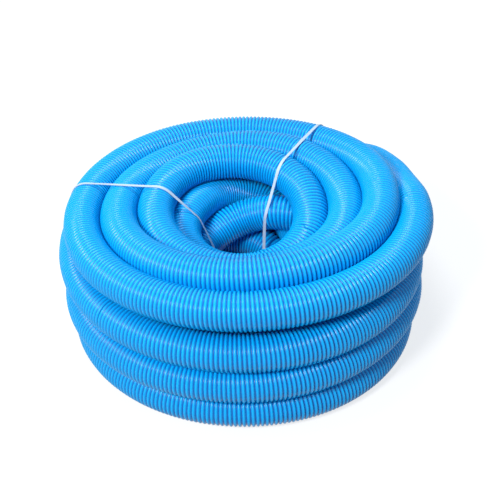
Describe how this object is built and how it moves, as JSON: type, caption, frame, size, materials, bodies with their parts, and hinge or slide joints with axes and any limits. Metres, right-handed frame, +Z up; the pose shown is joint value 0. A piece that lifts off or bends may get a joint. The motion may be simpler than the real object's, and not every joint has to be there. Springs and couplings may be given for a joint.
{
  "type": "pool vacuum hose",
  "caption": "Flexible spiral-wound suction hose, coiled and tied with flat tapes, with a free-turning swivel cuff on one end and a fixed cuff on the other.",
  "frame": {"origin": "on the floor, under the middle of the whole object's box", "axes": "+Z up along the coil's axis; -Y towards the coil's plain front; both hose ends lie behind the coil at +Y, the swivel cuff pointing along -X and the fixed cuff along +X"},
  "size_m": [0.445, 0.4992, 0.1946],
  "materials": {
    "hose_blue": "gloss",
    "swivel_grey": "satin",
    "cuff_charcoal": "satin",
    "seal_rubber": "matt",
    "tie_tape": "gloss"
  },
  "bodies": {
    "hose": {"hose_coil": "hose_blue", "hose_end_fixed": "hose_blue", "hose_end_swivel": "hose_blue", "swivel_ferrule": "swivel_grey", "seal_washer": "seal_rubber", "fixed_cuff": "cuff_charcoal", "tape_tie_left": "tie_tape", "tape_tie_right": "tie_tape"},
    "swivel": {"swivel_cuff": "cuff_charcoal", "retaining_ring": "swivel_grey"}
  },
  "joints": [
    {"name": "cuff_swivel", "type": "hinge", "parent": "hose", "child": "swivel", "pos_m": [-0.1583, 0.22012, 0.0298], "axis": [1, 0, 0], "continuous": true}
  ]
}
